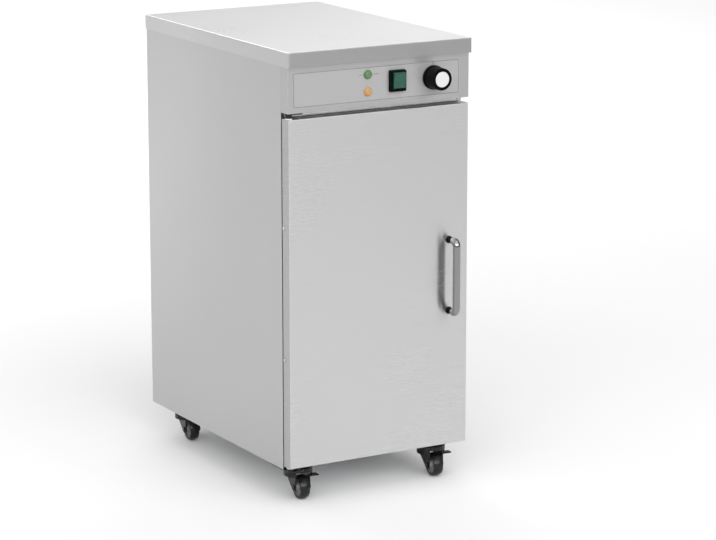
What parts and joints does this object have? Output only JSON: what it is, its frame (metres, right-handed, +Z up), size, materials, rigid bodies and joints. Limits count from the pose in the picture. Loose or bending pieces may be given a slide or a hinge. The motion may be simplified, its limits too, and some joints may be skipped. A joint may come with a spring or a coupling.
{
  "type": "plate warmer cabinet",
  "caption": "Upright stainless plate-warming cabinet with one insulated hinged door, a control strip above it and swivel casters beneath",
  "frame": {"origin": "on the floor, at the middle of the width and of the overall depth (handle to cable gland)", "axes": "+Z up, the door faces -Y, +X to the right when facing the door"},
  "size_m": [0.403, 0.6486, 0.885],
  "materials": {
    "stainless": "satin stainless sheet",
    "stainless_dull": "2B mill stainless sheet",
    "galvanised": "zinc-coated sheet",
    "overlay": "satin plate with a fine border",
    "wool": "mineral wool",
    "chromed_wire": "bright plated wire",
    "element_sheath": "heat-tinted element sheath",
    "control_body": "thermostat case",
    "copper": "copper bulb and capillary",
    "bright_steel": "zinc-plated steel",
    "black_plastic": "black moulding",
    "green_rocker": "translucent green",
    "green_lens": "dark green lens",
    "amber_lens": "amber lens",
    "steatite": "steatite",
    "black_nylon": "black nylon",
    "magnet": "ferrite block",
    "screw_steel": "bright screws",
    "caster_black": "black coated steel",
    "wheel_black": "black polyurethane",
    "black_coated": "black coated steel bracket",
    "silicone": "dark silicone seal",
    "white_nylon": "nylon bush",
    "grip_steel": "brushed stainless bent round bar",
    "cap_silver": "bright spun cap"
  },
  "bodies": {
    "cabinet": {"worktop": "stainless", "side_panel_left": "stainless", "side_panel_right": "stainless", "back_panel": "stainless_dull", "base_pan": "galvanised", "front_frame": "stainless_dull", "control_fascia": "stainless", "fascia_overlay": "overlay", "liner_left": "stainless_dull", "liner_right": "stainless_dull", "liner_back": "stainless_dull", "liner_top": "stainless_dull", "liner_floor": "stainless_dull", "insulation": "wool", "shelf_rack_left": "stainless_dull", "shelf_rack_right": "stainless_dull", "wire_shelf_upper": "chromed_wire", "wire_shelf_middle": "chromed_wire", "wire_shelf_lower": "chromed_wire", "heater_element": "element_sheath", "heater_saddles": "galvanised", "heater_guard": "stainless_dull", "thermostat_body": "control_body", "thermostat_bulb": "copper", "rocker_housing": "black_plastic", "lamp_green": "green_lens", "lamp_orange": "amber_lens", "terminal_block": "steatite", "cable_gland": "black_nylon", "hinge_bracket_upper": "black_coated", "hinge_bracket_lower": "black_coated", "catch_magnet": "magnet", "body_screws": "screw_steel", "caster_plates": "caster_black", "caster_bolts": "screw_steel"},
    "door": {"door_skin": "stainless", "door_inner_panel": "stainless_dull", "door_core": "wool", "door_gasket": "silicone", "hinge_bushes": "white_nylon", "door_side_screws": "screw_steel", "handle_posts": "black_plastic", "handle_grip": "grip_steel", "handle_screws": "screw_steel", "catch_strike": "bright_steel"},
    "dial": {"thermostat_knob": "black_plastic", "knob_cap": "cap_silver", "thermostat_shaft": "bright_steel"},
    "rocker": {"rocker_button": "green_rocker"},
    "swivel_fl": {"caster_fork_fl": "caster_black"},
    "wheel_fl": {"caster_wheel_fl": "wheel_black"},
    "brake_fl": {"caster_brake_fl": "caster_black"},
    "swivel_fr": {"caster_fork_fr": "caster_black"},
    "wheel_fr": {"caster_wheel_fr": "wheel_black"},
    "brake_fr": {"caster_brake_fr": "caster_black"},
    "swivel_rl": {"caster_fork_rl": "caster_black"},
    "wheel_rl": {"caster_wheel_rl": "wheel_black"},
    "swivel_rr": {"caster_fork_rr": "caster_black"},
    "wheel_rr": {"caster_wheel_rr": "wheel_black"}
  },
  "joints": [
    {"name": "door_swing", "type": "hinge", "parent": "cabinet", "child": "door", "pos_m": [-0.192, -0.27675, 0.416], "axis": [0, 0, -1], "range_deg": [0, 120]},
    {"name": "dial_turn", "type": "hinge", "parent": "cabinet", "child": "dial", "pos_m": [0.1182, -0.28975, 0.8135], "axis": [0, 1, 0], "range_deg": [0, 270]},
    {"name": "rocker_tip", "type": "hinge", "parent": "cabinet", "child": "rocker", "pos_m": [0.0375, -0.29275, 0.815], "axis": [1, 0, 0], "range_deg": [-14, 0]},
    {"name": "swivel_turn_fl", "type": "hinge", "parent": "cabinet", "child": "swivel_fl", "pos_m": [-0.152, -0.23325, 0.058], "axis": [0, 0, 1], "continuous": true},
    {"name": "wheel_roll_fl", "type": "hinge", "parent": "swivel_fl", "child": "wheel_fl", "pos_m": [-0.15367, -0.24916, 0.024], "axis": [0.9945, -0.1045, 0], "continuous": true},
    {"name": "swivel_turn_fr", "type": "hinge", "parent": "cabinet", "child": "swivel_fr", "pos_m": [0.152, -0.23325, 0.058], "axis": [0, 0, 1], "continuous": true},
    {"name": "wheel_roll_fr", "type": "hinge", "parent": "swivel_fr", "child": "wheel_fr", "pos_m": [0.15033, -0.24916, 0.024], "axis": [0.9945, -0.1045, 0], "continuous": true},
    {"name": "swivel_turn_rl", "type": "hinge", "parent": "cabinet", "child": "swivel_rl", "pos_m": [-0.152, 0.23925, 0.058], "axis": [0, 0, 1], "continuous": true},
    {"name": "wheel_roll_rl", "type": "hinge", "parent": "swivel_rl", "child": "wheel_rl", "pos_m": [-0.15367, 0.22334, 0.024], "axis": [0.9945, -0.1045, 0], "continuous": true},
    {"name": "swivel_turn_rr", "type": "hinge", "parent": "cabinet", "child": "swivel_rr", "pos_m": [0.152, 0.23925, 0.058], "axis": [0, 0, 1], "continuous": true},
    {"name": "wheel_roll_rr", "type": "hinge", "parent": "swivel_rr", "child": "wheel_rr", "pos_m": [0.15033, 0.22334, 0.024], "axis": [0.9945, -0.1045, 0], "continuous": true},
    {"name": "brake_press_fl", "type": "hinge", "parent": "swivel_fl", "child": "brake_fl", "pos_m": [-0.15106, -0.2243, 0.047], "axis": [0.9945, -0.1045, 0], "range_deg": [0, 5.5]},
    {"name": "brake_press_fr", "type": "hinge", "parent": "swivel_fr", "child": "brake_fr", "pos_m": [0.15294, -0.2243, 0.047], "axis": [0.9945, -0.1045, 0], "range_deg": [0, 5.5]}
  ]
}
